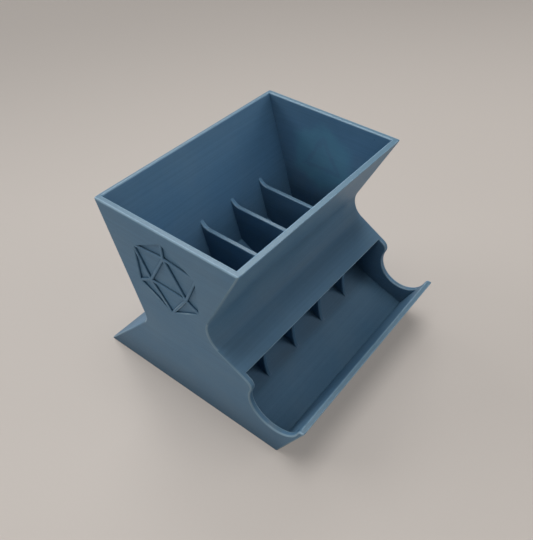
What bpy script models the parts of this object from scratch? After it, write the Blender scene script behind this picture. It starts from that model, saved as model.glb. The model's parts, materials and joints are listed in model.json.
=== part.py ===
"""Dice tower: a gravity-fed hopper, four lane dividers, a sloping chute and an open catching tray.

Everything between the two end plates is an extrusion along X. Each panel enters a shallow rebate
in both end plates, and each lane divider has a tongue that stands in a groove in the chute ramp,
the rear wall and the front wall, so that the tower stacks together without screws.

Frame: +X to the right along the tower, -Y towards the tray, +Z up, z = 0 on the table.
Sections are drawn as (y, z) in millimetres, with y counted rearward from the front rim.
"""

import math

import bmesh
import bpy
from mathutils import Vector

for stale in list(bpy.data.objects):
    bpy.data.objects.remove(stale, do_unlink=True)
for stale in list(bpy.data.meshes):
    bpy.data.meshes.remove(stale)

# ---------------------------------------------------------------- driving dimensions, millimetres
MM = 0.001                # metres in a millimetre

LENGTH = 100.0            # overall, over both end plates
PLATE_T = 2.5             # end plate thickness
HEIGHT = 88.0             # table to hopper rim
GAP = 0.3                 # clearance between neighbouring pieces
REBATE = 1.0              # depth of the rebates in the end plates
ENTRY = 0.7               # how far each panel enters its rebate
PLATE_OUTER_X = LENGTH / 2
PLATE_INNER_X = PLATE_OUTER_X - PLATE_T
PANEL_END_X = PLATE_INNER_X + ENTRY

FRONT_RIM = (0.0, HEIGHT)   # outer edge of the front rim
REAR_RIM = (66.6, HEIGHT)   # outer edge of the rear rim
REAR_FOOT = (82.2, 0.0)     # rear edge of the base on the table
LIP_TIP = (-27.3, 24.4)     # outer upper edge of the tray lip
LIP_FOOT = (-14.8, 0.0)     # front edge of the base on the table
HOOD_EDGE = (1.33, 36.5)    # lower outer edge of the hood
RAMP_BEND = (3.9, 11.6)     # where the chute bends into the tray floor, on the upper face
Y_ORIGIN = (REAR_FOOT[0] + LIP_TIP[0]) / 2    # the frame's y = 0, behind the front rim

FRONT_LEAN = 0.4907       # front wall: millimetres back for each millimetre down
REAR_LEAN = 0.2774        # rear wall: millimetres forward for each millimetre down
FOOT_SLOPE = 0.917        # rear foot: millimetres back for each millimetre down
HOOD_TILT = math.radians(29.5)
RAMP_TILT = math.radians(28.5)    # the chute runs nearly parallel to the hood
TRAY_TILT = math.radians(20.0)    # the tray floor is less steep

THROAT_R = 9.3            # bend between front wall and hood, on the outer face
THROAT_SEGMENTS = 14
PINCH_R = 7.0             # bend between rear wall and rear foot, on the outer face
PINCH_SEGMENTS = 10

FRONT_T = 2.38            # front wall thickness
HOOD_EDGE_T = 1.8         # hood thickness at its lower edge
REAR_T = 1.6              # rear wall thickness
FOOT_T = 2.0              # rear foot thickness
RAMP_T = 2.0              # chute ramp thickness
BASE_T = 2.0              # base plate thickness
LIP_T = 2.1               # tray lip thickness

SCOOP_CENTRE = (-13.0, 25.8)    # scooped side opening of the tray
SCOOP_R = 11.45
SCOOP_SEGMENTS = 26
SCOOP_END_DROP = 0.8      # the scoop's arc ends this far below the top of the lip
SCOOP_END_STEP = 0.25     # and the outline steps this far forward on its way to the top
NOSE_R = 4.3              # rounded nose between hood line and scoop
NOSE_SEGMENTS = 10

DIVIDER_COUNT = 4
DIVIDER_T = 2.0
LANE_WIDTH = (2 * PLATE_INNER_X - DIVIDER_COUNT * DIVIDER_T) / (DIVIDER_COUNT + 1)
DIVIDER_PITCH = LANE_WIDTH + DIVIDER_T
DIVIDER_TOP = 54.1
DIVIDER_BEND_START = 0.06         # radians up the throat bend where a divider's arc starts
DIVIDER_BEND_SEGMENTS = 10
DIVIDER_SWEEP_R = 5.5             # fillet where a divider's top runs up the rear wall
DIVIDER_SWEEP_SEGMENTS = 8
TOE_Y = 4.5                       # where a divider's toe ends on the ramp
TOE_RISE = 0.3                    # the swept front edge starts this far above the ramp
FRONT_EDGE_CONTROL = (9.0, 15.5)  # middle control point of the swept front edge
FRONT_EDGE_TOP_Y = 7.0            # where the swept front edge meets the hood
FRONT_EDGE_SEGMENTS = 6
TONGUE = 0.6                      # how far a divider's tongue enters its groove

MOTIF_CENTRE = (35.0, 66.0)    # sunk die motif on each end plate
MOTIF_R = 17.5                 # circumscribed radius of the motif's hexagon
MOTIF_INNER_R = 0.58 * MOTIF_R # circumscribed radius of the middle facet
MOTIF_RIB = 1.3                # rib left standing between two facets
MOTIF_DEPTH = 0.8

REBATE_OVERRUN = 2.0      # how far a rebate cutter starts inside the plate's inner face
MOTIF_OVERRUN = 1.0       # how far a motif cutter stands out of the plate's outer face

PANEL_ROUGHNESS = 0.52    # panels and end plates
DIVIDER_ROUGHNESS = 0.5
PLATE_COLOUR = (0.150, 0.245, 0.350)
DIVIDER_COLOUR = (0.150, 0.248, 0.355)


# ---------------------------------------------------------------- plane geometry in the section
def unit(vector):
    length = math.hypot(*vector)
    return (vector[0] / length, vector[1] / length)


def move(point, direction, distance=1.0):
    return (point[0] + distance * direction[0], point[1] + distance * direction[1])


def minus(point, other):
    return (point[0] - other[0], point[1] - other[1])


def dot(first, second):
    return first[0] * second[0] + first[1] * second[1]


def cross(first, second):
    return first[0] * second[1] - first[1] * second[0]


def right_of(direction):
    """The normal on the right-hand side of a direction."""
    return (direction[1], -direction[0])


def left_of(direction):
    return (-direction[1], direction[0])


def meet(point, direction, other, other_direction):
    """Where two lines meet, each given by a point and a direction."""
    distance = cross(minus(other, point), other_direction) / cross(direction, other_direction)
    return move(point, direction, distance)


def at_height(point, direction, z):
    """The point of a line at height z."""
    return move(point, direction, (z - point[1]) / direction[1])


def at_y(point, direction, y):
    return move(point, direction, (y - point[0]) / direction[0])


def arc(centre, radius, start, end, segments, end_radius=None):
    """Points from angle start to angle end; the radius may change evenly to end_radius."""
    growth = 0.0 if end_radius is None else end_radius - radius
    points = []
    for i in range(segments + 1):
        turn = start + (end - start) * i / segments
        points.append(move(centre, (math.cos(turn), math.sin(turn)), radius + growth * i / segments))
    return points


def angle(centre, point):
    return math.atan2(point[1] - centre[1], point[0] - centre[0])


def short_arc(centre, radius, start_point, end_point, segments, end_radius=None):
    """The shorter arc between the bearings of two points, seen from the centre."""
    start, end = angle(centre, start_point), angle(centre, end_point)
    if end - start > math.pi:
        end -= 2 * math.pi
    elif end - start < -math.pi:
        end += 2 * math.pi
    return arc(centre, radius, start, end, segments, end_radius)


def bend(corner, d_in, d_out, radius):
    """Both tangent points and the centre of a bend at a corner between two directions."""
    turn = math.acos(max(-1.0, min(1.0, dot(d_in, d_out))))
    run = radius * math.tan(turn / 2)
    start, end = move(corner, d_in, -run), move(corner, d_out, run)
    normal = left_of(d_in) if cross(d_in, d_out) > 0 else right_of(d_in)
    return start, end, move(start, normal, radius)


def grow(outline, distance):
    """The counter-clockwise outline with every edge moved outward by distance."""
    grown = []
    for i, point in enumerate(outline):
        d_in = unit(minus(point, outline[i - 1]))
        d_out = unit(minus(outline[(i + 1) % len(outline)], point))
        moved = move(point, right_of(d_in), distance)
        if abs(cross(d_in, d_out)) >= 1e-6:
            moved = meet(moved, d_in, move(point, right_of(d_out), distance), d_out)
        grown.append(moved)
    return grown


def ccw(outline):
    """The outline, reversed if it runs clockwise."""
    area = sum(cross(outline[i - 1], outline[i]) for i in range(len(outline)))
    return outline if area > 0 else outline[::-1]


# ---------------------------------------------------------------- the lines of the section
FRONT_DOWN = unit((FRONT_LEAN, -1.0))
HOOD_DOWN = (-math.cos(HOOD_TILT), -math.sin(HOOD_TILT))    # towards the tray
REAR_DOWN = unit((-REAR_LEAN, -1.0))
FOOT_DOWN = unit((FOOT_SLOPE, -1.0))
LIP_DOWN = unit(minus(LIP_FOOT, LIP_TIP))
RAMP_UP = (math.cos(RAMP_TILT), math.sin(RAMP_TILT))        # towards the rear
TRAY_UP = (math.cos(TRAY_TILT), math.sin(TRAY_TILT))        # towards the rear

# normals from each outer face into the tower, and above the ramp
FRONT_IN = left_of(FRONT_DOWN)
HOOD_IN = left_of(HOOD_DOWN)
REAR_IN = right_of(REAR_DOWN)
FOOT_IN = right_of(FOOT_DOWN)
LIP_IN = left_of(LIP_DOWN)
RAMP_NORMAL = left_of(RAMP_UP)

THROAT_TOP, THROAT_LOW, THROAT_CENTRE = bend(
    meet(FRONT_RIM, FRONT_DOWN, HOOD_EDGE, HOOD_DOWN), FRONT_DOWN, HOOD_DOWN, THROAT_R
)
PINCH_TOP, PINCH_LOW, PINCH_CENTRE = bend(
    meet(REAR_RIM, REAR_DOWN, REAR_FOOT, FOOT_DOWN), REAR_DOWN, FOOT_DOWN, PINCH_R
)

# points on the inner faces
HOOD_LOW_INNER = move(HOOD_EDGE, HOOD_IN, HOOD_EDGE_T)
HOOD_HIGH_INNER = move(THROAT_LOW, HOOD_IN, FRONT_T)
REAR_INNER = move(REAR_RIM, REAR_IN, REAR_T)
LIP_INNER = move(LIP_TIP, LIP_IN, LIP_T)
PANEL_FOOT_Z = BASE_T + GAP    # rear foot and tray lip end here, clear of the base plate


# ---------------------------------------------------------------- outlines
def throat_arc(radius):
    """The throat bend, from the front wall down to the hood."""
    return short_arc(THROAT_CENTRE, radius, THROAT_TOP, THROAT_LOW, THROAT_SEGMENTS)


def nose_centre():
    """The point NOSE_R below the hood line and NOSE_R outside the scoop's circle."""
    below = move(HOOD_EDGE, HOOD_IN, NOSE_R)
    from_scoop = minus(below, SCOOP_CENTRE)
    half_chord = math.sqrt((SCOOP_R + NOSE_R) ** 2 - dot(from_scoop, HOOD_IN) ** 2)
    return move(below, HOOD_DOWN, -half_chord - dot(from_scoop, HOOD_DOWN))


def plate_outline():
    """End plate: down the front from the rim, around the scoop, then along the table and up."""
    centre = nose_centre()
    nose_top = move(centre, HOOD_IN, -NOSE_R)
    scoop_end = math.asin((SCOOP_CENTRE[1] - (LIP_TIP[1] - SCOOP_END_DROP)) / SCOOP_R) - math.pi
    scoop = arc(SCOOP_CENTRE, SCOOP_R, angle(SCOOP_CENTRE, centre), scoop_end, SCOOP_SEGMENTS)
    return ccw([
        FRONT_RIM,
        *throat_arc(THROAT_R),
        *short_arc(centre, NOSE_R, nose_top, SCOOP_CENTRE, NOSE_SEGMENTS),
        *scoop[1:],
        (scoop[-1][0] - SCOOP_END_STEP, LIP_TIP[1]),
        LIP_TIP,
        LIP_FOOT,
        REAR_FOOT,
        *short_arc(PINCH_CENTRE, PINCH_R, PINCH_LOW, PINCH_TOP, PINCH_SEGMENTS),
        REAR_RIM,
    ])


def front_wall_outline():
    """Front wall, throat bend and hood: one bent panel."""
    outer = [FRONT_RIM, *throat_arc(THROAT_R), HOOD_EDGE]
    inner = [
        at_height(move(FRONT_RIM, FRONT_IN, FRONT_T), FRONT_DOWN, HEIGHT),
        *throat_arc(THROAT_R + FRONT_T),
        HOOD_LOW_INNER,
    ]
    return ccw(outer + inner[::-1])


def rear_wall_outline():
    """Rear wall, pinch bend and rear foot: one bent panel that stands over the base plate."""
    outer = [
        REAR_RIM,
        *short_arc(PINCH_CENTRE, PINCH_R, PINCH_TOP, PINCH_LOW, PINCH_SEGMENTS),
        at_height(REAR_FOOT, FOOT_DOWN, PANEL_FOOT_Z),
    ]
    inner = [
        at_height(REAR_INNER, REAR_DOWN, HEIGHT),
        *short_arc(PINCH_CENTRE, PINCH_R + REAR_T, PINCH_TOP, PINCH_LOW, PINCH_SEGMENTS,
                   end_radius=PINCH_R + FOOT_T),
        at_height(move(REAR_FOOT, FOOT_IN, FOOT_T), FOOT_DOWN, PANEL_FOOT_Z),
    ]
    return ccw(outer + inner[::-1])


def ramp_outline():
    """Chute ramp and tray floor: one panel from the rear wall to the lip, bent near the toes."""
    under_ramp = move(RAMP_BEND, RAMP_NORMAL, -RAMP_T)
    under_tray = move(RAMP_BEND, left_of(TRAY_UP), -RAMP_T)
    back = move(REAR_INNER, REAR_IN, GAP)
    front = move(LIP_INNER, LIP_IN, GAP)
    return ccw([
        RAMP_BEND,
        meet(RAMP_BEND, TRAY_UP, front, LIP_DOWN),
        meet(under_tray, TRAY_UP, front, LIP_DOWN),
        meet(under_tray, TRAY_UP, under_ramp, RAMP_UP),
        meet(under_ramp, RAMP_UP, back, REAR_DOWN),
        meet(RAMP_BEND, RAMP_UP, back, REAR_DOWN),
    ])


def base_outline():
    return ccw([
        LIP_FOOT,
        REAR_FOOT,
        at_height(REAR_FOOT, FOOT_DOWN, BASE_T),
        at_height(LIP_FOOT, LIP_DOWN, BASE_T),
    ])


def lip_outline():
    return ccw([
        LIP_TIP,
        at_height(LIP_TIP, LIP_DOWN, PANEL_FOOT_Z),
        at_height(LIP_INNER, LIP_DOWN, PANEL_FOOT_Z),
        at_height(LIP_INNER, LIP_DOWN, LIP_TIP[1]),
    ])


def divider_front_edge(under, under_direction, spare):
    """The swept front edge, a quadratic curve from the toe up to the hood."""
    start = move(at_y(RAMP_BEND, RAMP_UP, TOE_Y - spare), (0.0, TOE_RISE))
    control = (FRONT_EDGE_CONTROL[0] - spare, FRONT_EDGE_CONTROL[1])
    end = at_y(under, under_direction, FRONT_EDGE_TOP_Y - spare)
    points = []
    for i in range(FRONT_EDGE_SEGMENTS + 1):
        t = i / FRONT_EDGE_SEGMENTS
        points.append(tuple(
            (1 - t) ** 2 * start[axis] + 2 * t * (1 - t) * control[axis] + t * t * end[axis]
            for axis in (0, 1)
        ))
    return points


def divider_outline(reach, spare=0.0):
    """A lane divider that goes `reach` into ramp, rear wall and front wall.

    `spare` moves the free edges, the top and the toe, outward, for the groove cutter.
    """
    top = DIVIDER_TOP + spare
    rear = move(REAR_INNER, REAR_IN, -reach)
    floor = move(RAMP_BEND, RAMP_NORMAL, -reach)
    under_direction = unit(minus(HOOD_LOW_INNER, HOOD_HIGH_INNER))
    under = move(HOOD_LOW_INNER, left_of(under_direction), -reach)

    # up the inner face of the throat bend
    radius = THROAT_R + FRONT_T - reach
    low_angle = angle((0.0, 0.0), HOOD_IN) + DIVIDER_BEND_START
    top_angle = math.asin((top - THROAT_CENTRE[1]) / radius)
    points = arc(THROAT_CENTRE, radius, low_angle, top_angle, DIVIDER_BEND_SEGMENTS)

    # along the top and up the rear wall
    corner = at_height(rear, REAR_DOWN, top)
    rear_up = (-REAR_DOWN[0], -REAR_DOWN[1])
    start, end, centre = bend(corner, (1.0, 0.0), rear_up, DIVIDER_SWEEP_R)
    if spare > 0:    # room for the sweep, as a plain step
        high = at_height(rear, REAR_DOWN, end[1] + spare)
        points += [start, (start[0], high[1]), high]
    else:
        points += short_arc(centre, DIVIDER_SWEEP_R, start, end, DIVIDER_SWEEP_SEGMENTS)

    # down the rear wall, along the ramp to the toe and back up to the hood
    points += [
        meet(floor, RAMP_UP, rear, REAR_DOWN),
        at_y(floor, RAMP_UP, TOE_Y - spare),
        *divider_front_edge(under, under_direction, spare),
        meet(THROAT_CENTRE, HOOD_IN, under, under_direction),
    ]
    return ccw(points)


def motif_polygon(radius, corners):
    """Corners of a regular polygon around the motif's centre, the first one on top."""
    turns = [math.radians(90 + 360 / corners * k) for k in range(corners)]
    return [move(MOTIF_CENTRE, (math.cos(turn), math.sin(turn)), radius) for turn in turns]


def facets():
    """The ten visible facets of a twenty-sided die, seen face on, as triangles in the section."""
    hexagon = motif_polygon(MOTIF_R, 6)
    inner = motif_polygon(MOTIF_INNER_R, 3)
    triangles = [inner]
    for k in range(3):
        near, far = inner[k], inner[(k + 1) % 3]
        first, middle, last = hexagon[2 * k], hexagon[2 * k + 1], hexagon[(2 * k + 2) % 6]
        triangles += [[near, far, middle], [near, first, middle], [far, middle, last]]
    return [grow(ccw(triangle), -MOTIF_RIB / 2) for triangle in triangles]


# ---------------------------------------------------------------- solids
def plastic(piece, colour, roughness):
    mat = bpy.data.materials.new("pla_" + piece)
    mat.use_nodes = True
    shader = mat.node_tree.nodes["Principled BSDF"]
    shader.inputs["Base Color"].default_value = (*colour, 1.0)
    shader.inputs["Roughness"].default_value = roughness
    shader.inputs["Metallic"].default_value = 0.0
    mat.diffuse_color = (*colour, 1.0)
    return mat


def place(point, x=0.0):
    """A section point at x, in the frame's metres."""
    return (x * MM, (point[0] - Y_ORIGIN) * MM, point[1] * MM)


def add_prism(bm, outline, x_start, x_end):
    """A closed outline in the section, drawn at x_start and extruded to x_end."""
    face = bm.faces.new([bm.verts.new(place(point, x_start)) for point in outline])
    extruded = bmesh.ops.extrude_face_region(bm, geom=[face])
    moved = [part for part in extruded["geom"] if isinstance(part, bmesh.types.BMVert)]
    bmesh.ops.translate(bm, verts=moved, vec=Vector(((x_end - x_start) * MM, 0.0, 0.0)))


def prisms_object(name, outlines, x_start, x_end, origin=(0.0, 0.0, 0.0)):
    """An object made of prisms, with its origin at a reference point of its own."""
    bm = bmesh.new()
    for outline in outlines:
        add_prism(bm, outline, x_start, x_end)
    bmesh.ops.recalc_face_normals(bm, faces=bm.faces)
    bmesh.ops.translate(bm, verts=bm.verts, vec=-Vector(origin))
    mesh = bpy.data.meshes.new(name)
    bm.to_mesh(mesh)
    bm.free()
    ob = bpy.data.objects.new(name, mesh)
    ob.location = origin
    bpy.context.scene.collection.objects.link(ob)
    return ob


def add_piece(name, outline, x_start, x_end, origin, colour, roughness=PANEL_ROUGHNESS):
    ob = prisms_object(name, [outline], x_start, x_end, origin)
    ob.data.materials.append(plastic(name, colour, roughness))
    ob.data.shade_smooth()
    ob.data.set_sharp_from_angle(angle=math.radians(30))
    ob.parent = tower
    return ob


def add_cutter(name, outlines, x_start, x_end):
    """A hidden helper, shown as wire."""
    ob = prisms_object(name, outlines, x_start, x_end)
    ob.hide_render = True
    ob.display_type = "WIRE"
    return ob


def cut(ob, cutter):
    mod = ob.modifiers.new("cut_" + cutter.name, "BOOLEAN")
    mod.operation = "DIFFERENCE"
    mod.solver = "EXACT"
    mod.object = cutter


def add_end_plate(name, side):
    """An end plate with its rebates and motif; side is -1 for left and 1 for right."""
    origin = place((Y_ORIGIN, 0.0), side * PLATE_OUTER_X)
    plate = add_piece(
        name, plate_outline(), side * PLATE_INNER_X, side * PLATE_OUTER_X, origin, PLATE_COLOUR
    )
    for panel, (outline, _, _) in PANELS.items():
        cut(plate, add_cutter(
            f"{name}_{panel}_rebate",
            [grow(outline, GAP)],
            side * (PLATE_INNER_X - REBATE_OVERRUN),
            side * (PLATE_INNER_X + REBATE),
        ))
    cut(plate, add_cutter(
        f"{name}_motif_cutter",
        facets(),
        side * (PLATE_OUTER_X - MOTIF_DEPTH),
        side * (PLATE_OUTER_X + MOTIF_OVERRUN),
    ))


def add_divider(number, grooved):
    """A lane divider, and its groove in each of the grooved panels."""
    name = f"lane_divider_{number}"
    x = (number - (DIVIDER_COUNT + 1) / 2) * DIVIDER_PITCH
    half = DIVIDER_T / 2
    origin = place(at_y(RAMP_BEND, RAMP_UP, TOE_Y), x)
    add_piece(
        name, divider_outline(TONGUE), x - half, x + half, origin, DIVIDER_COLOUR,
        roughness=DIVIDER_ROUGHNESS,
    )
    groove_outline = divider_outline(TONGUE + GAP, spare=GAP)
    groove = add_cutter(f"{name}_groove", [groove_outline], x - half - GAP, x + half + GAP)
    for panel in grooved:
        cut(panel, groove)


# name: outline, origin in the section, colour
PANELS = {
    "front_wall_and_hood": (front_wall_outline(), FRONT_RIM, (0.152, 0.250, 0.358)),
    "rear_wall": (rear_wall_outline(), REAR_RIM, (0.148, 0.243, 0.348)),
    "chute_ramp": (ramp_outline(), RAMP_BEND, (0.145, 0.238, 0.342)),
    "base_plate": (base_outline(), (Y_ORIGIN, 0.0), (0.140, 0.230, 0.330)),
    "tray_lip": (lip_outline(), LIP_TIP, (0.155, 0.255, 0.362)),
}

tower = bpy.data.objects.new("dice_tower", None)
bpy.context.scene.collection.objects.link(tower)

panel_objects = {
    name: add_piece(name, outline, -PANEL_END_X, PANEL_END_X, place(origin), colour)
    for name, (outline, origin, colour) in PANELS.items()
}
add_end_plate("left_end_plate", side=-1)
add_end_plate("right_end_plate", side=1)

grooved_panels = [
    panel_objects[name] for name in ("chute_ramp", "rear_wall", "front_wall_and_hood")
]
for divider_number in range(1, DIVIDER_COUNT + 1):
    add_divider(divider_number, grooved_panels)
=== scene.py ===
"""Looks of the dice tower: one printed shell, divided along its panels so that each piece
stands for its CAD node.

The tower stands on z = 0 with its tray towards -Y, its hopper rim at the top and its length
along X. The shell is laid out as one body from the lines of its YZ section, so that walls run
into each other without a seam. It is divided by cuts inside the walls, where nothing shows.
Section lengths are millimetres, as (y, z) with y counted from the front rim. Meshes are metres.
"""

import json
import math

import bmesh
import bpy
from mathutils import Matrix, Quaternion, Vector
from mathutils.geometry import delaunay_2d_cdt


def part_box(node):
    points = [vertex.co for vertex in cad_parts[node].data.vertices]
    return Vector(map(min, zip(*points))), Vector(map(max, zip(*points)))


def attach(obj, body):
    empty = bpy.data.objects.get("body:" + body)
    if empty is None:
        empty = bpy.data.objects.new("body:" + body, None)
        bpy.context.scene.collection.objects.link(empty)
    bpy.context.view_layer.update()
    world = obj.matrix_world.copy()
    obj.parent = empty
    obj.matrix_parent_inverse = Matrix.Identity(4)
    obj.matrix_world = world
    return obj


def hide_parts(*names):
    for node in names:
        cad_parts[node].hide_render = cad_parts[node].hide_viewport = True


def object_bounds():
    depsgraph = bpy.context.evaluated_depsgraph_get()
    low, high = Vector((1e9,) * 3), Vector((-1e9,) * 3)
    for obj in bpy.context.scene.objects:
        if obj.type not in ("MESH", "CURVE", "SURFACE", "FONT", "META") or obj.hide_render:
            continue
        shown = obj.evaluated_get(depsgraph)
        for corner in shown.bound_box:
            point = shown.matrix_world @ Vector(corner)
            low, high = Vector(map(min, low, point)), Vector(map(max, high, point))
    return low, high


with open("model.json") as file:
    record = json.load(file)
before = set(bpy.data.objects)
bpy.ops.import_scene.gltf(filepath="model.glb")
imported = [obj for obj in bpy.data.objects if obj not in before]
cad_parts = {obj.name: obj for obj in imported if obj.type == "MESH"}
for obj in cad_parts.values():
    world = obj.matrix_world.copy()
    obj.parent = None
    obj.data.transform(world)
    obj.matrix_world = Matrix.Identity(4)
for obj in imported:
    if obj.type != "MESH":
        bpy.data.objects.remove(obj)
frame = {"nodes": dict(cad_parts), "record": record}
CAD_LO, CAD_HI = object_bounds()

MM = 0.001

# ------------------------------------------------------------------ sizes from the CAD pieces
Y_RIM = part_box("front_wall_and_hood")[0].y       # the front rim's outer edge, metres


def section_y(y):
    """A y in metres as a section y in millimetres."""
    return (y - Y_RIM) / MM


def cad_points(node):
    return [vert.co for vert in frame["nodes"][node].data.vertices]


HALF = CAD_HI.x / MM                              # middle to an end plate's outer face
INNER = -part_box("left_end_plate")[1].x / MM       # middle to an end plate's inner face
HEIGHT = CAD_HI.z / MM
RIM_BACK = section_y(max(p.y for p in cad_points("rear_wall") if p.z > CAD_HI.z - 1e-5))
FOOT_BACK = section_y(CAD_HI.y)
LIP_TIP = section_y(CAD_LO.y)
LIP_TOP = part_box("tray_lip")[1].z / MM
LIP_FOOT = section_y(min(p.y for p in cad_points("base_plate") if p.z < 1e-5))
BASE_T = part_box("base_plate")[1].z / MM
DIVIDERS = [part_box("lane_divider_%d" % k) for k in (1, 2, 3, 4)]
DIVIDER_X = [(low.x + high.x) / 2 / MM for low, high in DIVIDERS]
DIVIDER_T = (DIVIDERS[0][1].x - DIVIDERS[0][0].x) / MM

# ------------------------------------------------------------------ the section's own numbers
FRONT_LEAN, REAR_LEAN, FOOT_SLOPE = 0.4907, 0.2774, 0.917      # run in y for a drop of 1
THROAT_R = 9.3                            # bend from the front wall into the hood
PINCH_R = 7.0                             # bend from the rear wall into its foot
HOOD_TILT = math.radians(29.5)
HOOD_EDGE = (1.33, 36.5)                  # outer corner at the hood's free edge
FRONT_T, HOOD_EDGE_T, REAR_T, FOOT_T, RAMP_T, LIP_T = 2.38, 1.8, 1.6, 2.0, 2.0, 2.1
RAMP_TILT, TRAY_TILT = math.radians(28.5), math.radians(20.0)
RAMP_POINT = (3.9, 11.6)                  # where the chute bends into the tray floor
SCOOP_C, SCOOP_R = (-13.0, 25.8), 11.45   # hollow in an end plate's front edge
NOSE_R = 4.3                              # end plate's rounding between hood and scoop
OVERLAP = 0.7                             # how far a panel runs into the wall that it meets
BASE_INSET = 0.7                          # base plate's rear end, in from the foot's outer face

DIVIDER_TOP = 54.1
SWEEP_R = 5.5                             # divider's top, curving up to the rear wall
SWEEP_CUT = math.radians(28)              # part of that curve left off at the wall
THROAT_GAP = 0.06                         # radians left out where the throat meets the hood
DIVIDER_TOE_Y, DIVIDER_HOOD_Y = 4.6, 7.0  # ends of a divider's front edge, on ramp and hood
DIVIDER_CONTROL = (8.7, 16.2)             # control point of that edge's quadratic curve
DIVIDER_STEPS = 12

MOTIF_C, MOTIF_R, MOTIF_RIB, MOTIF_DEPTH = (35.0, 66.0), 17.5, 1.3, 0.8
MOTIF_INNER_R = 0.58 * MOTIF_R            # the middle facet's corners

ARC_STEP = math.radians(3.0)


# ------------------------------------------------------------------ plane geometry
# A line is (point, heading), with a heading of unit length.
def between(start, end):
    return (end[0] - start[0], end[1] - start[1])


def dot(a, b):
    return a[0] * b[0] + a[1] * b[1]


def cross(a, b):
    return a[0] * b[1] - a[1] * b[0]


def unit(vector):
    length = math.hypot(*vector)
    return (vector[0] / length, vector[1] / length)


def left_of(heading):
    return (-heading[1], heading[0])


def move(point, heading, distance):
    return (point[0] + distance * heading[0], point[1] + distance * heading[1])


def shifted(line, distance):
    """The line moved sideways, to the left of its heading."""
    return (move(line[0], left_of(line[1]), distance), line[1])


def meet(line, other):
    (point, heading), (target, across) = line, other
    return move(point, heading, cross(between(point, target), across) / cross(heading, across))


def at_y(line, y):
    point, heading = line
    return move(point, heading, (y - point[0]) / heading[0])


def at_z(line, z):
    point, heading = line
    return move(point, heading, (z - point[1]) / heading[1])


def first_crossing(line, centre, radius):
    """Where a line, followed along its heading, enters a circle."""
    point, heading = line
    offset = between(centre, point)
    run = dot(offset, heading)
    return move(point, heading, -run - math.sqrt(run * run - dot(offset, offset) + radius**2))


def angle(centre, point):
    return math.atan2(point[1] - centre[1], point[0] - centre[0])


def arc(centre, radius, start, end, end_radius=None):
    end_radius = radius if end_radius is None else end_radius
    steps = max(2, int(round(abs(end - start) / ARC_STEP)))
    points = []
    for i in range(steps + 1):
        here = radius + (end_radius - radius) * i / steps
        turn = start + (end - start) * i / steps
        points.append(move(centre, (math.cos(turn), math.sin(turn)), here))
    return points


def short_arc(centre, radius, start_point, end_point, end_radius=None, cut=0.0):
    """The shorter way round from one point's direction to the other's, ending cut radians off."""
    start, end = angle(centre, start_point), angle(centre, end_point) - cut
    while end - start > math.pi:
        end -= 2 * math.pi
    while end - start < -math.pi:
        end += 2 * math.pi
    return arc(centre, radius, start, end, end_radius)


def bend(corner, heading_in, heading_out, radius):
    """Start, end and centre of the arc that rounds a corner."""
    run = radius * math.tan(math.acos(dot(heading_in, heading_out)) / 2)
    start, end = move(corner, heading_in, -run), move(corner, heading_out, run)
    side = math.copysign(radius, cross(heading_in, heading_out))
    return start, end, move(start, left_of(heading_in), side)


def ccw(points):
    area = sum(cross(points[i - 1], points[i]) for i in range(len(points)))
    return points if area > 0 else points[::-1]


def grow(outline, distance):
    """A counter-clockwise outline with every side moved outwards."""
    grown = []
    for i, corner in enumerate(outline):
        before, after = outline[i - 1], outline[(i + 1) % len(outline)]
        side_in = shifted((corner, unit(between(before, corner))), -distance)
        side_out = shifted((corner, unit(between(corner, after))), -distance)
        straight = abs(cross(side_in[1], side_out[1])) < 1e-6
        grown.append(side_in[0] if straight else meet(side_in, side_out))
    return grown


def inside(outline, point):
    hit = False
    for i in range(len(outline)):
        (y0, z0), (y1, z1) = outline[i - 1], outline[i]
        if (z0 > point[1]) != (z1 > point[1]):
            if point[0] < (y1 - y0) * (point[1] - z0) / (z1 - z0) + y0:
                hit = not hit
    return hit


# ------------------------------------------------------------------ lines of the section
# Outer faces head downwards, ramp and tray head backwards and up.
FRONT = ((0.0, HEIGHT), unit((FRONT_LEAN, -1.0)))
HOOD = (HOOD_EDGE, (-math.cos(HOOD_TILT), -math.sin(HOOD_TILT)))
REAR = ((RIM_BACK, HEIGHT), unit((-REAR_LEAN, -1.0)))
FOOT = ((FOOT_BACK, 0.0), unit((FOOT_SLOPE, -1.0)))
LIP = ((LIP_TIP, LIP_TOP), unit((LIP_FOOT - LIP_TIP, -LIP_TOP)))
RAMP = (RAMP_POINT, (math.cos(RAMP_TILT), math.sin(RAMP_TILT)))
TRAY = (RAMP_POINT, (math.cos(TRAY_TILT), math.sin(TRAY_TILT)))

REAR_INNER = shifted(REAR, -REAR_T)
LIP_INNER = shifted(LIP, LIP_T)
LIP_BURIED = shifted(LIP_INNER, -OVERLAP)
REAR_BURIED = shifted(REAR_INNER, OVERLAP)
HOOD_IN = left_of(HOOD[1])

THROAT_A, THROAT_B, THROAT_C = bend(meet(FRONT, HOOD), FRONT[1], HOOD[1], THROAT_R)
PINCH_A, PINCH_B, PINCH_C = bend(meet(REAR, FOOT), REAR[1], FOOT[1], PINCH_R)
HOOD_LOW_IN = move(HOOD_EDGE, HOOD_IN, HOOD_EDGE_T)
HOOD_HIGH_IN = move(THROAT_B, HOOD_IN, FRONT_T)


# ------------------------------------------------------------------ outlines of the section
def throat_arc(radius):
    return short_arc(THROAT_C, radius, THROAT_A, THROAT_B)


def pinch_arc(radius, end_radius=None):
    return short_arc(PINCH_C, radius, PINCH_A, PINCH_B, end_radius)


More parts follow.
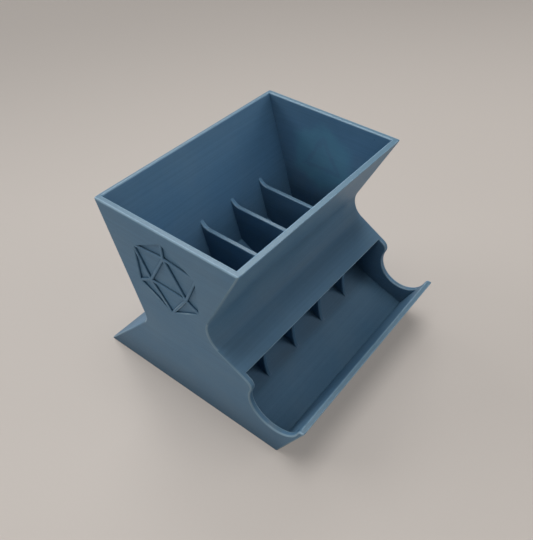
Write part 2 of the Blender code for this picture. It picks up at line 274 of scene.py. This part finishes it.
def plate_outline():
    """End plate: front rim, throat, hood, nose, scoop, lip, foot, pinch and rear rim."""
    points = [FRONT[0]] + throat_arc(THROAT_R) + [HOOD_EDGE]
    nose = first_crossing(shifted(HOOD, NOSE_R), SCOOP_C, SCOOP_R + NOSE_R)
    points += short_arc(nose, NOSE_R, move(nose, HOOD_IN, -NOSE_R), SCOOP_C)
    # the scoop runs out onto the line of the lip's inner face
    low = first_crossing(LIP_INNER, SCOOP_C, SCOOP_R)
    points += arc(SCOOP_C, SCOOP_R, angle(SCOOP_C, nose), angle(SCOOP_C, low))[1:]
    points += [at_z(LIP_INNER, LIP_TOP), LIP[0], (LIP_FOOT, 0.0), FOOT[0]]
    points += pinch_arc(PINCH_R)[::-1]
    return ccw(points + [REAR[0]])


def front_outline():
    outer = [FRONT[0]] + throat_arc(THROAT_R) + [HOOD_EDGE]
    inner = [at_z(shifted(FRONT, FRONT_T), HEIGHT)]
    inner += throat_arc(THROAT_R + FRONT_T) + [HOOD_LOW_IN]
    return ccw(outer + inner[::-1])


def rear_outline():
    outer = [REAR[0]] + pinch_arc(PINCH_R) + [FOOT[0]]
    inner = [at_z(REAR_INNER, HEIGHT)]
    inner += pinch_arc(PINCH_R + REAR_T, PINCH_R + FOOT_T)
    inner += [at_z(shifted(FOOT, -FOOT_T), 0.0)]
    return ccw(outer + inner[::-1])


def lip_outline():
    return ccw([LIP[0], (LIP_FOOT, 0.0), at_z(LIP_INNER, 0.0), at_z(LIP_INNER, LIP_TOP)])


def ramp_outline():
    """Chute ramp and tray floor, from rear wall to lip."""
    ramp_low, tray_low = shifted(RAMP, -RAMP_T), shifted(TRAY, -RAMP_T)
    return ccw([
        RAMP_POINT,
        meet(TRAY, LIP_BURIED),
        meet(tray_low, LIP_BURIED),
        meet(tray_low, ramp_low),
        meet(ramp_low, REAR_BURIED),
        meet(RAMP, REAR_BURIED),
    ])


def base_outline():
    rear = shifted(FOOT, -BASE_INSET)
    return ccw([
        at_z(LIP_BURIED, 0.0),
        at_z(rear, 0.0),
        at_z(rear, BASE_T),
        at_z(LIP_BURIED, BASE_T),
    ])


def divider_outline():
    floor_line = shifted(RAMP, -OVERLAP)
    under_hood = shifted((HOOD_LOW_IN, unit(between(HOOD_HIGH_IN, HOOD_LOW_IN))), -OVERLAP)
    radius = THROAT_R + FRONT_T - OVERLAP
    low = angle(THROAT_C, move(THROAT_C, HOOD_IN, radius))
    top = math.asin((DIVIDER_TOP - THROAT_C[1]) / radius)
    points = arc(THROAT_C, radius, low + THROAT_GAP, top)
    # the top sweeps up to the rear wall and stops short of running out along it
    up_wall = (-REAR[1][0], -REAR[1][1])
    start, end, centre = bend(at_z(REAR_INNER, DIVIDER_TOP), (1.0, 0.0), up_wall, SWEEP_R)
    points += short_arc(centre, SWEEP_R, start, end, cut=SWEEP_CUT)
    points[-1] = meet((points[-1], unit(between(points[-2], points[-1]))), REAR_BURIED)
    points += [meet(floor_line, REAR_BURIED), at_y(floor_line, DIVIDER_TOE_Y)]
    # front edge, from the ramp up to the hood
    start, end = at_y(RAMP, DIVIDER_TOE_Y), at_y(under_hood, DIVIDER_HOOD_Y)
    for i in range(DIVIDER_STEPS + 1):
        t = i / DIVIDER_STEPS
        points.append(tuple(
            (1 - t) ** 2 * start[k] + 2 * t * (1 - t) * DIVIDER_CONTROL[k] + t * t * end[k]
            for k in (0, 1)
        ))
    return ccw(points + [meet((THROAT_C, HOOD_IN), under_hood)])


def facet_outlines():
    """The ten visible facets of a twenty-sided die seen face on, parted by ribs."""
    def corner(radius, count, k):
        turn = math.radians(90 + 360 / count * k)
        return move(MOTIF_C, (math.cos(turn), math.sin(turn)), radius)

    triangles = [[corner(MOTIF_INNER_R, 3, k) for k in range(3)]]
    for k in range(3):
        a, b = corner(MOTIF_INNER_R, 3, k), corner(MOTIF_INNER_R, 3, k + 1)
        rim = [corner(MOTIF_R, 6, 2 * k + j) for j in range(3)]
        triangles += [[a, b, rim[1]], [a, rim[0], rim[1]], [b, rim[1], rim[2]]]
    return [grow(ccw(triangle), -MOTIF_RIB / 2) for triangle in triangles]


# ------------------------------------------------------------------ the shell, as pieces
# The section is divided into triangles by all its outlines at once, and X into slices at every
# face that lies across it. Each triangle in each slice is empty or belongs to one piece. The
# faces between a piece's cells and anything else close the piece. A piece ends where a cut runs
# through the material, CLEAR past a wall's surface, so that both sides of a cut carry the same
# flat surfaces and the shell looks like one print.
CLEAR = 0.9
SIDE = INNER - 1.2                         # x of the cuts beside the end plates
NEAR_Y, NEAR_FLOOR = (-60.0, 110.0), -20.0  # a box well past the shell, for the base's region
SURFACE, CUT, ROUNDED = 0, 1, 2            # kinds of face, kept as material indices for a while

PLATE = plate_outline()
PANELS = [front_outline(), rear_outline(), lip_outline(), base_outline(), ramp_outline()]
DIVIDER = divider_outline()
FACETS = facet_outlines()
NEAR_FRONT, NEAR_REAR, NEAR_LIP = (grow(panel, CLEAR) for panel in PANELS[:3])
NEAR_BASE = [
    (NEAR_Y[0], NEAR_FLOOR),
    (NEAR_Y[1], NEAR_FLOOR),
    (NEAR_Y[1], BASE_T + 0.3),
    (NEAR_Y[0], BASE_T + 0.3),
]
ABOVE_RAMP, ABOVE_TRAY = shifted(RAMP, CLEAR), shifted(TRAY, CLEAR)
NEAR_RAMP = ccw([                          # everything below the chute's top, and CLEAR above
    move(*ABOVE_TRAY, -60.0),
    meet(ABOVE_TRAY, ABOVE_RAMP),
    move(*ABOVE_RAMP, 120.0),
    (120.0, NEAR_FLOOR),
    (-80.0, NEAR_FLOOR),
])
REGIONS = {                                # the first region that holds a point has it
    "front_wall_and_hood": NEAR_FRONT,
    "rear_wall": NEAR_REAR,
    "tray_lip": NEAR_LIP,
    "base_plate": NEAR_BASE,
}
LEVELS = sorted(
    [s * v for s in (-1, 1) for v in (HALF, HALF - MOTIF_DEPTH, INNER, SIDE)]
    + [x + s * DIVIDER_T / 2 for s in (-1, 1) for x in DIVIDER_X]
)
SLICES = len(LEVELS) - 1


def triangulate_section():
    coords, edges, seen = [], [], {}
    for outline in [PLATE, DIVIDER] + PANELS + FACETS + list(REGIONS.values()) + [NEAR_RAMP]:
        ids = []
        for point in outline:
            key = (round(point[0], 4), round(point[1], 4))
            if key not in seen:
                seen[key] = len(coords)
                coords.append(Vector(key))
            ids.append(seen[key])
        edges += [(ids[i - 1], ids[i]) for i in range(len(ids)) if ids[i - 1] != ids[i]]
    verts, _, triangles, _, _, _ = delaunay_2d_cdt(coords, edges, [], 0, 1e-4)
    return [(v.x, v.y) for v in verts], triangles


def centroid(verts, triangle):
    return tuple(sum(verts[i][axis] for i in triangle) / 3 for axis in (0, 1))


def owner(point, x):
    """The piece that holds a point of the section at x, or None in air."""
    side = abs(x)
    end_plate = "left_end_plate" if x < 0 else "right_end_plate"
    if side > INNER:
        sunk = side > HALF - MOTIF_DEPTH and any(inside(facet, point) for facet in FACETS)
        return end_plate if inside(PLATE, point) and not sunk else None
    lane = [k for k, middle in enumerate(DIVIDER_X) if abs(x - middle) < DIVIDER_T / 2]
    in_panel = any(inside(panel, point) for panel in PANELS)
    if not in_panel and not (lane and inside(DIVIDER, point)):
        return None
    if side > SIDE:
        return end_plate
    for name, region in REGIONS.items():
        if inside(region, point):
            return name
    if lane and not inside(NEAR_RAMP, point):
        return "lane_divider_%d" % (lane[0] + 1)
    return "chute_ramp"


class Cells:
    """The section's triangles, and the piece that each is in at every slice."""

    def __init__(self):
        self.verts, self.triangles = triangulate_section()
        self.state = []                    # per triangle: air, the slices from -X to +X, air
        self.sides = {}                    # the triangles on each edge of the section
        for t, triangle in enumerate(self.triangles):
            middle = centroid(self.verts, triangle)
            held = [owner(middle, (LEVELS[k] + LEVELS[k + 1]) / 2) for k in range(SLICES)]
            self.state.append([None] + held + [None])
            for i in range(3):
                edge = frozenset((triangle[i], triangle[(i + 1) % 3]))
                self.sides.setdefault(edge, []).append(t)


def close_piece(cells, name):
    """A bmesh of the faces between a piece's cells and anything else."""
    bm = bmesh.new()
    made = {}

    def vert(i, level):
        if (i, level) not in made:
            y, z = cells.verts[i]
            made[(i, level)] = bm.verts.new((LEVELS[level] * MM, y * MM + Y_RIM, z * MM))
        return made[(i, level)]

    def face(ring, other):
        bm.faces.new(ring).material_index = SURFACE if other is None else CUT

    # faces across X
    for triangle, state in zip(cells.triangles, cells.state):
        for level in range(len(LEVELS)):
            before, after = state[level], state[level + 1]
            if before == name and after != name:
                face([vert(i, level) for i in triangle], after)
            elif after == name and before != name:
                face([vert(i, level) for i in triangle[::-1]], before)
    # faces along X
    for edge in sorted(cells.sides, key=sorted):
        sides = cells.sides[edge]
        i, j = sorted(edge)
        for k in range(SLICES):
            found = [cells.state[t][k + 1] for t in sides] + [None] * (2 - len(sides))
            if (found[0] == name) == (found[1] == name):
                continue
            full, other = (sides[0], found[1]) if found[0] == name else (sides[1], found[0])
            start, end = cells.verts[i], cells.verts[j]
            middle = centroid(cells.verts, cells.triangles[full])
            on_left = cross(between(start, end), between(start, middle)) > 0
            p, q = (i, j) if on_left else (j, i)
            face([vert(p, k), vert(q, k), vert(q, k + 1), vert(p, k + 1)], other)
    return bm


# ------------------------------------------------------------------ rounded edges
# Rounding radii, millimetres.
FOOT_ROUND, MOTIF_ROUND, PLATE_ROUND = 0.35, 0.40, 0.7
DIVIDER_ROUND, HOOD_ROUND, RIM_ROUND = 0.45, 0.3, 0.55
MIN_TURN = math.radians(22)                # flatter edges stay as they are
# these pieces are rounded at an even width past their flat seams
EVEN = ("left_end_plate", "right_end_plate", "front_wall_and_hood", "chute_ramp")


def below_ramp(y, z):
    tilt = RAMP_TILT if y > RAMP_POINT[0] else TRAY_TILT
    return z < RAMP_POINT[1] + (y - RAMP_POINT[0]) * math.tan(tilt) - 0.5


def edge_radius(edge):
    """Rounding radius of an edge, in millimetres."""
    if any(f.material_index == CUT for f in edge.link_faces):
        return 0.0
    if edge.calc_face_angle(0.0) < MIN_TURN:
        return 0.0
    middle = (edge.verts[0].co + edge.verts[1].co) / 2
    side, y, z = abs(middle.x / MM), section_y(middle.y), middle.z / MM
    if z < 0.05:
        return FOOT_ROUND
    if side > INNER + 1.2:
        from_motif = math.hypot(y - MOTIF_C[0], z - MOTIF_C[1])
        if from_motif < MOTIF_R + 0.8 and HEIGHT - z > 1.0:
            return 0.0 if side < HALF - 0.1 else MOTIF_ROUND
        return PLATE_ROUND
    # the hollow under the ramp
    behind_lip = y > max(LIP_FOOT - 0.5 * z + 1.0, LIP_FOOT - 18.5)
    if below_ramp(y, z) and z > 0.5 and behind_lip and side < INNER + 0.1:
        return 0.0
    # where the scoop runs out onto the lip
    from_lip = abs(cross(between(LIP_INNER[0], (y, z)), LIP_INNER[1]))
    if abs(side - INNER) < 0.05 and z > 5.4 and from_lip < 0.05:
        return 0.0
    # the inward corners are sharp
    if not edge.is_convex:
        return 0.0
    if any(abs(abs(middle.x / MM - x) - DIVIDER_T / 2) < 0.02 for x in DIVIDER_X):
        return DIVIDER_ROUND
    # the hood's edge is crisper than the rims
    if side < INNER - 0.1 and math.hypot(y - HOOD_EDGE[0], z - HOOD_EDGE[1]) < 2.2:
        return HOOD_ROUND
    return RIM_ROUND


def new_object(name, bm):
    mesh = bpy.data.meshes.new(name)
    bm.to_mesh(mesh)
    bm.free()
    ob = bpy.data.objects.new(name, mesh)
    bpy.context.scene.collection.objects.link(ob)
    return ob


def apply_modifiers(ob):
    depsgraph = bpy.context.evaluated_depsgraph_get()
    depsgraph.update()
    mesh = bpy.data.meshes.new_from_object(ob.evaluated_get(depsgraph), depsgraph=depsgraph)
    old = ob.data
    ob.modifiers.clear()
    ob.data = mesh
    bpy.data.meshes.remove(old)
    mesh.name = ob.name


def build_piece(cells, name):
    bm = close_piece(cells, name)
    bmesh.ops.dissolve_limit(
        bm, angle_limit=math.radians(0.3), verts=bm.verts, edges=bm.edges, delimit={"MATERIAL"}
    )
    weight = bm.edges.layers.float.new("bevel_weight_edge")
    for edge in bm.edges:
        edge[weight] = edge_radius(edge)
    ob = new_object("vis_" + name, bm)
    for _ in (SURFACE, CUT, ROUNDED):
        ob.data.materials.append(None)
    ob.data.shade_smooth()
    bevel = ob.modifiers.new("round", "BEVEL")
    bevel.limit_method = "WEIGHT"
    bevel.width = 1.0 * MM                 # times the weight, so weights are millimetres
    bevel.segments = 4
    bevel.profile = 0.5
    bevel.use_clamp_overlap = False
    bevel.loop_slide = name not in EVEN
    bevel.offset_type = "OFFSET"
    bevel.miter_outer = "MITER_SHARP"
    bevel.material = ROUNDED
    apply_modifiers(ob)
    set_normals(ob.data)
    return ob


# ------------------------------------------------------------------ normals
# Cosines of the largest angle between a face and the faces that share its normal.
FLAT_ALIKE = math.cos(math.radians(24))    # flat faces of one surface
FLAT_BESIDE = math.cos(math.radians(50))   # a rounding and the flat face that it leaves
ROUND_ALIKE = math.cos(math.radians(60))   # faces of one rounding
COPLANAR = 0.99995


def set_normals(mesh):
    """Flat faces keep their own normal up to their border, roundings take those they join."""
    polys = mesh.polygons
    kinds = [p.material_index for p in polys]
    normals = [p.normal.copy() for p in polys]
    at_vertex = [[] for _ in mesh.vertices]
    for p in polys:
        for v in p.vertices:
            at_vertex[v].append(p.index)

    def corner_normal(face, vertex):
        own = normals[face]
        if kinds[face] == CUT:
            return own

        def alike(kind, normal, limit):
            return [
                q for q in at_vertex[vertex] if kinds[q] == kind and normals[q].dot(normal) > limit
            ]

        if kinds[face] == SURFACE:
            like = alike(SURFACE, own, FLAT_ALIKE)
        else:
            flat = [q for q in at_vertex[vertex] if kinds[q] == SURFACE]
            best = max(flat, key=lambda q: normals[q].dot(own), default=None)
            if best is not None and normals[best].dot(own) > FLAT_BESIDE:
                like = alike(SURFACE, normals[best], FLAT_ALIKE)
            else:
                like = alike(ROUNDED, own, ROUND_ALIKE)
        total, distinct = Vector(), []
        for q in like:
            if all(normals[q].dot(d) < COPLANAR for d in distinct):
                distinct.append(normals[q])
                total += normals[q]
        return total.normalized() if total.length > 1e-9 else own

    corners = [None] * len(mesh.loops)
    for p in polys:
        for loop in p.loop_indices:
            corners[loop] = tuple(corner_normal(p.index, mesh.loops[loop].vertex_index))
    mesh.shade_smooth()
    mesh.normals_split_custom_set(corners)
    add_edge_wear_and_highlight(mesh, kinds, normals, at_vertex)


def add_edge_wear_and_highlight(mesh, kinds, normals, at_vertex):
    """Edge wear and highlight attribute: 1 along the middle of an outward rounding, 0 on flat
    faces, for edges painted lighter, partly as wear and partly as a painted highlight.
    """
    polys = mesh.polygons
    outward = [0.0] * len(mesh.vertices)
    pairs = {}
    for p in polys:
        for key in p.edge_keys:
            pairs.setdefault(key, []).append(p.index)
    for ends, both in pairs.items():
        if len(both) == 2 and ROUNDED in (kinds[both[0]], kinds[both[1]]):
            apart = polys[both[0]].center - polys[both[1]].center
            bend_out = (normals[both[0]] - normals[both[1]]).dot(apart)
            for v in ends:
                outward[v] += bend_out
    values = [0.0] * len(mesh.loops)
    for p in polys:
        if kinds[p.index] == ROUNDED:
            for loop in p.loop_indices:
                v = mesh.loops[loop].vertex_index
                if outward[v] > 0:
                    at_border = any(kinds[q] == SURFACE for q in at_vertex[v])
                    values[loop] = 0.25 if at_border else 1.0
    edge_wear_and_highlight = mesh.attributes.new("edge_wear_and_highlight", "FLOAT", "CORNER")
    edge_wear_and_highlight.data.foreach_set("value", values)


cells = Cells()
pieces = {name: build_piece(cells, name) for name in sorted(frame["nodes"])}


# ------------------------------------------------------------------ node graphs
class Graph:
    """A material's node tree, with short names for the nodes that it needs."""

    def __init__(self, name):
        self.mat = bpy.data.materials.new(name)
        self.mat.use_nodes = True
        self.tree = self.mat.node_tree
        self.tree.nodes.clear()
        out = self.new("ShaderNodeOutputMaterial")
        self.bsdf = self.new("ShaderNodeBsdfPrincipled")
        self.feed(out.inputs["Surface"], self.bsdf.outputs[0])
        self.position = self.new("ShaderNodeTexCoord").outputs["Object"]

    def new(self, kind, inputs=None, **props):
        node = self.tree.nodes.new(kind)
        for key, value in props.items():
            setattr(node, key, value)
        for key, value in (inputs or {}).items():
            self.feed(node.inputs[key], value)
        return node

    def feed(self, socket, value):
        if isinstance(value, bpy.types.NodeSocket):
            self.tree.links.new(value, socket)
        else:
            socket.default_value = value

    def surface(self, **values):
        """Feeds the shader, with _ for a space in an input's name."""
        for key, value in values.items():
            self.feed(self.bsdf.inputs[key.replace("_", " ")], value)

    def math(self, operation, *values):
        return self.new("ShaderNodeMath", dict(enumerate(values)), operation=operation).outputs[0]

    def times(self, value, factor):
        return self.math("MULTIPLY", value, factor)

    def times_add(self, value, factor, plus):
        return self.math("MULTIPLY_ADD", value, factor, plus)

    def invert(self, value):
        return self.math("SUBTRACT", 1.0, value)

    def vary(self, base, pattern, amount):
        """The base, raised and lowered by a pattern that lies about 0.5."""
        return self.times_add(self.math("SUBTRACT", pattern, 0.5), amount, base)

    def smooth(self, value, start, end):
        inputs = {"Value": value, "From Min": start, "From Max": end}
        node = self.new("ShaderNodeMapRange", inputs, interpolation_type="SMOOTHSTEP")
        return node.outputs["Result"]

    def ridges(self, phase):
        """Round-topped ridges, one for each whole step of the phase."""
        return self.math("ABSOLUTE", self.math("SINE", self.times(phase, math.pi)))

    def split(self, vector):
        return self.new("ShaderNodeSeparateXYZ", {0: vector}).outputs

    def vector(self, operation, vector, other):
        return self.new(
            "ShaderNodeVectorMath", {0: vector, 1: other}, operation=operation
        ).outputs[0]

    def scaled(self, vector, factor):
        inputs = {0: vector, "Scale": factor}
        return self.new("ShaderNodeVectorMath", inputs, operation="SCALE").outputs[0]

    def noise(self, vector, scale, detail=2.0, rough=0.5):
        inputs = {"Vector": vector, "Scale": scale, "Detail": detail, "Roughness": rough}
        return self.new("ShaderNodeTexNoise", inputs).outputs["Fac"]

    def stretched_noise(self, vector, scale, detail=2.0, rough=0.5):
        stretched = self.vector("MULTIPLY", vector, scale)
        return self.noise(stretched, scale=1.0, detail=detail, rough=rough)

    def occlusion(self, samples, distance):
        inputs = {"Distance": distance}
        return self.new("ShaderNodeAmbientOcclusion", inputs, samples=samples).outputs["AO"]

    def mix(self, fac, a, b):
        return self.new("ShaderNodeMix", {0: fac, 6: a, 7: b}, data_type="RGBA").outputs[2]


# ------------------------------------------------------------------ printed plastic
LAYER = 0.0002                    # printed layer height, metres
STRAND = 0.00057                  # step in x + y between first-layer strands, metres
ALBEDO = (0.122, 0.245, 0.378)
EDGE_WEAR_AND_HIGHLIGHT, MOTIF_EDGE_WEAR_AND_HIGHLIGHT = 0.62, 1.0      # how much lighter an outward rounding is painted, partly wear and partly a painted highlight; on the end plates


def tint(red, green, blue):
    """The plastic's colour, times a factor for each channel."""
    return (ALBEDO[0] * red, ALBEDO[1] * green, ALBEDO[2] * blue, 1.0)


def layered_tone(graph, z, steep, streak, band, cloud, mottle):
    """Brightness: streaks and uneven layers on the walls, clouds and mottling everywhere."""
    level = graph.math("FLOOR", graph.math("DIVIDE", z, LAYER))
    white = graph.new("ShaderNodeTexWhiteNoise", {"W": level}, noise_dimensions="1D")
    tone = graph.vary(1.0, streak, amount=0.22)
    tone = graph.vary(tone, band, amount=0.16)
    tone = graph.vary(tone, white.outputs["Value"], amount=0.05)
    tone = graph.times_add(graph.math("SUBTRACT", tone, 1.0), steep, plus=1.0)
    tone = graph.vary(tone, cloud, amount=0.14)
    return graph.vary(tone, mottle, amount=0.07)


def nozzle_specks(graph, at):
    """Sparse specks burnt on by the nozzle."""
    cell = graph.new("ShaderNodeTexVoronoi", {"Vector": at, "Scale": 62.0})
    pick = graph.new("ShaderNodeSeparateColor", {0: cell.outputs["Color"]})
    chosen = graph.math("GREATER_THAN", pick.outputs[0], 0.86)      # about one cell in seven
    disc = graph.smooth(cell.outputs["Distance"], start=0.012, end=0.032)
    return graph.times(graph.invert(disc), chosen)


def motif_glow(graph, base, at, x, y, z):
    """Light through the thin plastic behind the sunk motif: a soft patch on the inside face."""
    across = graph.math("SUBTRACT", y, Y_RIM + MOTIF_C[0] * MM)
    up = graph.math("SUBTRACT", z, MOTIF_C[1] * MM)
    blur = graph.vary(0.0, graph.noise(at, scale=260.0), amount=0.0035)

    def polygon_distance(degrees):
        """How far out a point lies, by the sides of a polygon that face these ways."""
        best = None
        for turn in map(math.radians, degrees):
            reach = graph.math(
                "ADD", graph.times(across, math.cos(turn)), graph.times(up, math.sin(turn))
            )
            best = reach if best is None else graph.math("MAXIMUM", best, reach)
        return graph.math("ADD", best, blur)

    hexagon = polygon_distance(range(0, 360, 60))
    radius = MOTIF_R * MM
    patch = graph.invert(graph.smooth(hexagon, start=radius * 0.66, end=radius * 0.98))
    triangle = polygon_distance((30, 150, 270))
    away = graph.math("ABSOLUTE", graph.math("SUBTRACT", triangle, MOTIF_INNER_R * MM * 0.5))
    rib = graph.invert(graph.smooth(away, start=0.0004, end=0.0016))
    thin = graph.times(patch, graph.times_add(rib, factor=-0.55, plus=1.0))
    on_inner = graph.math("LESS_THAN", graph.math("ABSOLUTE", x), (INNER + 0.05) * MM)
    thin = graph.times(thin, on_inner)
    uneven = graph.times_add(graph.noise(at, scale=150.0), factor=0.6, plus=0.45)
    thin = graph.times(thin, uneven)
    return graph.mix(graph.times(thin, factor=0.62), base, tint(1.05, 1.45, 1.25))


def layer_relief(graph, at, x, y, z, facing, steep, streak, band, mottle, speck):
    """Rounded ridges one layer high, uneven along their length, and the strands' own grain."""
    shake = graph.stretched_noise(at, scale=(60.0, 60.0, 200.0))
    wobble = graph.times(graph.math("SUBTRACT", shake, 0.5), factor=0.00012)
    ridge = graph.ridges(graph.math("DIVIDE", graph.math("ADD", z, wobble), LAYER))
    ridge = graph.times(ridge, steep)
    height = graph.times_add(ridge, factor=0.45, plus=graph.times(streak, factor=0.75))
    height = graph.times_add(band, factor=1.1, plus=height)
    # strands of the first layer, seen from below
    strand = graph.ridges(graph.times(graph.math("ADD", x, y), 1.0 / STRAND))
    below = graph.math("LESS_THAN", facing, -0.95)
    height = graph.times_add(graph.times(strand, below), factor=0.7, plus=height)
    height = graph.times_add(mottle, factor=0.35, plus=height)
    height = graph.times_add(speck, factor=1.2, plus=height)
    inputs = {"Strength": 0.55, "Distance": 0.00004, "Height": height}
    return graph.new("ShaderNodeBump", inputs).outputs[0]


def printed_plastic(name, motif):
    """Matte filament plastic: layer ridges and streaks, edges painted lighter as wear and a
    painted highlight, flat tops painted greyer as a painted sheen, painted shade in hollows, a few
    specks.
    """
    graph = Graph(name)
    x, y, z = graph.split(graph.position)
    facing = graph.split(graph.new("ShaderNodeNewGeometry").outputs["Normal"])[2]
    at = graph.vector("ADD", graph.position, (0.0, 0.0, 0.0))     # moves all patterns at once

    streak = graph.stretched_noise(at, scale=(26.0, 26.0, 1900.0), detail=3.0, rough=0.6)
    band = graph.stretched_noise(at, scale=(5.0, 5.0, 420.0), rough=0.6)
    cloud = graph.noise(at, scale=38.0, detail=3.0, rough=0.55)
    mottle = graph.noise(at, scale=420.0, rough=0.6)
    steep = graph.invert(graph.smooth(graph.math("ABSOLUTE", facing), start=0.93, end=0.995))

    tone = layered_tone(graph, z, steep, streak, band, cloud, mottle)
    patches = graph.smooth(cloud, start=0.35, end=0.7)
    base = graph.mix(patches, tint(0.93, 0.985, 1.01), tint(1.07, 1.02, 0.99))
    base = graph.scaled(base, tone)

    # flat tops are painted greyer than the walls: a painted sheen for the light that they reflect
    base = graph.mix(graph.invert(steep), base, tint(1.02, 0.93, 0.84))

    # outward roundings are painted lighter, unevenly along their length: partly wear, partly a
    # painted highlight where a rounding catches the light
    edge_wear_and_highlight = graph.new("ShaderNodeAttribute", attribute_name="edge_wear_and_highlight").outputs["Fac"]
    uneven = graph.times_add(graph.noise(at, scale=170.0), factor=0.8, plus=0.6)
    edge = graph.times(edge_wear_and_highlight, uneven)
    lighter = graph.times(edge, MOTIF_EDGE_WEAR_AND_HIGHLIGHT if motif else EDGE_WEAR_AND_HIGHLIGHT)
    base = graph.mix(lighter, base, tint(2.0, 1.6, 1.35))

    # painted shade: corners, pockets and hollows are darkened where little open air reaches them;
    # the colour is also darker towards the table
    open_air = graph.smooth(graph.occlusion(samples=6, distance=0.022), start=0.05, end=0.85)
    foot = graph.times_add(graph.smooth(z, start=0.0, end=0.026), factor=0.23, plus=0.77)
    shade = graph.times(foot, graph.times_add(open_air, factor=0.46, plus=0.54))
    base = graph.scaled(base, shade)

    speck = nozzle_specks(graph, at)
    base = graph.mix(graph.times(speck, factor=0.55), base, tint(0.45, 0.42, 0.45))
    if motif:
        base = motif_glow(graph, base, at, x, y, z)

    # the layered walls are satin, flat tops are smoother
    rough = graph.times_add(steep, factor=0.14, plus=0.25)
    rough = graph.times_add(streak, factor=0.14, plus=rough)
    rough = graph.times_add(mottle, factor=0.06, plus=rough)
    sheen = graph.times_add(steep, factor=-0.38, plus=0.66)
    sheen = graph.times_add(edge, factor=0.4, plus=sheen)
    graph.surface(
        Base_Color=base,
        Roughness=rough,
        IOR=1.46,
        Specular_IOR_Level=graph.times(sheen, graph.times(open_air, open_air)),
        Normal=layer_relief(graph, at, x, y, z, facing, steep, streak, band, mottle, speck),
    )
    return graph.mat


materials = {
    slot: printed_plastic("printed_" + slot, motif=(slot == "end_plate"))
    for slot in sorted({entry["slot"] for entry in frame["record"]["materials"]})
}
slot_of = {part["node"]: part["material_slot"] for part in frame["record"]["subparts"]}

for node, ob in pieces.items():
    slot = slot_of[node]
    ob.data.materials.clear()
    ob.data.materials.append(materials[slot])
    ob.data.polygons.foreach_set("material_index", [0] * len(ob.data.polygons))
    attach(ob, "root")
    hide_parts(node)

# ------------------------------------------------------------------ floor
FLOOR_COLOR = (0.375, 0.345, 0.318)
# painted glow of the table, standing in for light from all round
FLOOR_GLOW = (0.205, 0.187, 0.173)


def floor_material():
    """Pale matt table top with a painted glow for a little light from all round, so that shadows
    on it stay light.
    """
    graph = Graph("pale_table")
    x, y, _ = graph.split(graph.position)
    soft = graph.noise(graph.position, scale=3.0)
    grain = graph.noise(graph.position, scale=900.0)
    # painted shade: darker towards the back right, where less light falls
    away = graph.times_add(x, factor=0.35, plus=graph.times(y, factor=0.75))
    tone = graph.times_add(graph.smooth(away, start=0.05, end=0.36), factor=-0.24, plus=1.0)
    tone = graph.vary(tone, soft, amount=0.03)
    tone = graph.vary(tone, grain, amount=0.02)
    # painted contact shadow: the glow is held back close to the tower, on the front side, away
    # from the windows
    near = graph.invert(graph.occlusion(samples=8, distance=0.018))
    lee = graph.smooth(graph.times(y, factor=-1.0), start=0.035, end=0.056)
    open_air = graph.invert(graph.times(graph.times(lee, factor=0.5), near))
    graph.surface(
        Base_Color=graph.scaled(FLOOR_COLOR, tone),
        Emission_Color=graph.scaled(FLOOR_GLOW, graph.times(tone, open_air)),
        Emission_Strength=1.0,
        Roughness=0.6,
        Specular_IOR_Level=0.3,
    )
    return graph.mat


bm = bmesh.new()
bmesh.ops.create_grid(bm, x_segments=1, y_segments=1, size=4.0)
floor = new_object("table", bm)
floor.location = (0.0, 0.0, CAD_LO.z - 0.0001)     # just clear of the tower's underside
floor.data.materials.append(floor_material())

# ------------------------------------------------------------------ light
scene = bpy.context.scene
world = bpy.data.worlds.new("studio")
scene.world = world
world.use_nodes = True
background = world.node_tree.nodes["Background"]
background.inputs["Color"].default_value = (1.0, 0.985, 0.97, 1.0)
background.inputs["Strength"].default_value = 0.03

LIGHT_TARGET = Vector((0.0, 0.0, 0.03))
# Round softboxes: name, azimuth from +X towards +Y and elevation (degrees), distance and
# diameter (metres), power (watts).
SOFTBOXES = [
    ("overhead", 0, 90, 0.60, 0.30, 1.35),
    ("window_back", 90, 35, 2.0, 0.9, 6.6),
    ("window_back_left", 120, 35, 2.0, 0.9, 8.0),
    ("window_back_right", 46, 48, 2.0, 0.9, 7.0),
    ("high_back", 60, 65, 0.85, 0.42, 0.8),
    ("fill_left", 180, 25, 0.85, 0.42, 0.74),
    ("fill_front_right", 312, 25, 0.85, 0.42, 1.12),
    ("fill_front", 285, 50, 0.85, 0.42, 0.30),
]


def softbox(name, azimuth, elevation, distance, size, power):
    light = bpy.data.lights.new(name, "AREA")
    light.shape, light.size, light.energy = "DISK", size, power
    ob = bpy.data.objects.new(name, light)
    scene.collection.objects.link(ob)
    turn, rise = math.radians(azimuth), math.radians(elevation)
    level = math.cos(rise)
    towards = Vector((level * math.cos(turn), level * math.sin(turn), math.sin(rise)))
    ob.location = LIGHT_TARGET + towards * distance
    ob.rotation_mode = "QUATERNION"
    ob.rotation_quaternion = (LIGHT_TARGET - ob.location).to_track_quat("-Z", "Y")


for row in SOFTBOXES:
    softbox(*row)

# ------------------------------------------------------------------ camera
lens = bpy.data.cameras.new("view")
lens.sensor_fit = "AUTO"
lens.sensor_width = 36.0
lens.lens = 39.696
lens.shift_x, lens.shift_y = -0.04260556, 0.04484815
lens.clip_start, lens.clip_end = 0.01, 20.0
camera = bpy.data.objects.new("view", lens)
scene.collection.objects.link(camera)
camera.location = (-0.145023, Y_RIM - 0.088439, 0.215663)
camera.rotation_mode = "QUATERNION"
camera.rotation_quaternion = Quaternion((0.8309416, 0.3311210, -0.1732805, -0.4121514))
scene.camera = camera

scene.view_settings.view_transform = "Standard"
scene.view_settings.look = "None"
scene.view_settings.exposure = 0.0
scene.view_settings.gamma = 1.0
